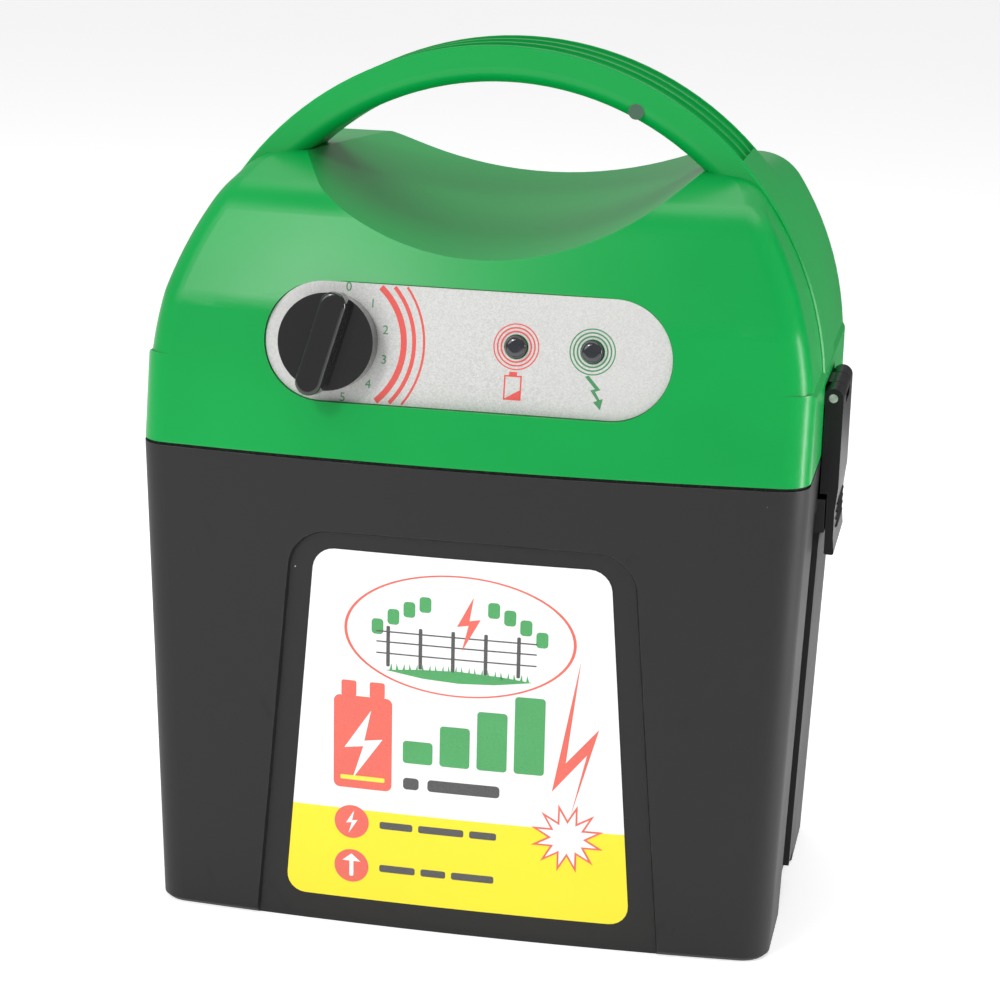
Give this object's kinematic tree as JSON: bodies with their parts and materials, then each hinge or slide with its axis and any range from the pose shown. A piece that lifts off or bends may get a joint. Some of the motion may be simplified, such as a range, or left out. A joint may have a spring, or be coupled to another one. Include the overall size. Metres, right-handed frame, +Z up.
{
  "type": "fence energizer",
  "caption": "Portable battery fence energizer: tapered tub, arched-handle lid with rotary selector, lamps and terminals, side latches, internal battery.",
  "frame": {"origin": "centre of the tub's flat base, on the surface it stands on", "axes": "+X to the right seen from the control panel's side, +Y towards the terminals at the rear, +Z up"},
  "size_m": [0.2348, 0.1768, 0.295],
  "materials": {
    "aluminium_parts": "extruded",
    "battery_shell": "printed card and plastic",
    "brass_parts": "turned",
    "capacitor_sleeve": "shrink sleeve",
    "circuit_board": "solder resist",
    "component_black": "moulded epoxy",
    "copper_winding": "enamelled copper",
    "core_steel": "lacquered laminations",
    "foam": "closed cell foam",
    "green_knob_plastic": "moulded",
    "housing_plastic": "glossy moulded",
    "inner_plastic": "moulded",
    "knob_plastic": "polished",
    "label_print": "printed adhesive label",
    "latch_plastic": "moulded",
    "lead_black": "insulated wire",
    "lead_red": "insulated wire",
    "panel_film": "silver grey printed film",
    "plated_steel": "zinc plated",
    "red_plastic": "moulded",
    "seal_rubber": "soft foam rubber",
    "smoked_lens": "smoked, polished",
    "switch_body": "moulded",
    "terminal_plastic": "moulded",
    "tub_plastic": "satin moulded"
  },
  "bodies": {
    "tub": {"battery_box": "tub_plastic", "front_label": "label_print", "housing_seal": "seal_rubber", "battery_pad": "foam", "battery_case": "battery_shell", "battery_terminal_plus": "brass_parts", "battery_terminal_minus": "brass_parts"},
    "lid": {"top_housing": "housing_plastic", "base_plate": "inner_plastic", "plate_screw_1": "plated_steel", "plate_screw_2": "plated_steel", "plate_screw_3": "plated_steel", "plate_screw_4": "plated_steel", "control_film": "panel_film", "rotary_switch": "switch_body", "switch_nut": "plated_steel", "battery_lamp_lens": "smoked_lens", "pulse_lamp_lens": "smoked_lens", "control_board": "circuit_board", "power_board": "circuit_board", "board_screw_1": "plated_steel", "board_screw_2": "plated_steel", "board_screw_3": "plated_steel", "board_screw_4": "plated_steel", "transformer_core": "core_steel", "transformer_coil": "copper_winding", "storage_capacitor": "capacitor_sleeve", "inverter_coil": "copper_winding", "thyristor": "component_black", "heat_sink": "aluminium_parts", "fence_terminal_bush": "terminal_plastic", "fence_terminal_stud": "plated_steel", "fence_terminal_nut": "plated_steel", "earth_terminal_bush": "terminal_plastic", "earth_terminal_stud": "plated_steel", "earth_terminal_nut": "plated_steel", "battery_lead_red": "lead_red", "battery_lead_black": "lead_black", "battery_clip_red": "lead_red", "battery_clip_black": "lead_black", "latch_bracket_right": "latch_plastic", "latch_bracket_left": "latch_plastic", "latch_pin_right": "plated_steel", "latch_pin_left": "plated_steel"},
    "selector": {"rotary_knob": "knob_plastic", "knob_shaft": "plated_steel"},
    "latch_right": {"latch_right": "latch_plastic"},
    "latch_left": {"latch_left": "latch_plastic"},
    "fence_washer": {"fence_terminal_washer": "plated_steel"},
    "fence_knob": {"fence_terminal_knob": "red_plastic"},
    "earth_washer": {"earth_terminal_washer": "plated_steel"},
    "earth_knob": {"earth_terminal_knob": "green_knob_plastic"}
  },
  "joints": [
    {"name": "lid_lift", "type": "slide", "parent": "tub", "child": "lid", "axis": [0, 0, 1], "range_m": [0, 0.055]},
    {"name": "latch_right_swing", "type": "hinge", "parent": "lid", "child": "latch_right", "pos_m": [0.114, 0, 0.1846], "axis": [0, -1, 0], "range_deg": [0, 105.1]},
    {"name": "latch_left_swing", "type": "hinge", "parent": "lid", "child": "latch_left", "pos_m": [-0.114, 0, 0.1846], "axis": [0, 1, 0], "range_deg": [0, 105.1]},
    {"name": "selector_turn", "type": "hinge", "parent": "lid", "child": "selector", "pos_m": [-0.0463, -0.06654, 0.2026], "axis": [0, 0.9863, -0.165], "range_deg": [0, 150]},
    {"name": "fence_knob_lift", "type": "slide", "parent": "lid", "child": "fence_washer", "axis": [0, 1, 0], "range_m": [0, 0.005]},
    {"name": "fence_knob_turn", "type": "hinge", "parent": "fence_washer", "child": "fence_knob", "pos_m": [-0.038, 0.0803, 0.205], "axis": [0, 1, 0], "range_deg": [0, 1801]},
    {"name": "earth_knob_lift", "type": "slide", "parent": "lid", "child": "earth_washer", "axis": [0, 1, 0], "range_m": [0, 0.005]},
    {"name": "earth_knob_turn", "type": "hinge", "parent": "earth_washer", "child": "earth_knob", "pos_m": [0.038, 0.0803, 0.205], "axis": [0, 1, 0], "range_deg": [0, 1801]}
  ],
  "couplings": [
    {"joint": "latch_right_swing", "follows": "lid_lift", "rad_per_m": 33.32},
    {"joint": "latch_left_swing", "follows": "lid_lift", "rad_per_m": 33.32},
    {"joint": "fence_knob_turn", "follows": "fence_knob_lift", "rad_per_m": 6283.2},
    {"joint": "earth_knob_turn", "follows": "earth_knob_lift", "rad_per_m": 6283.2}
  ]
}
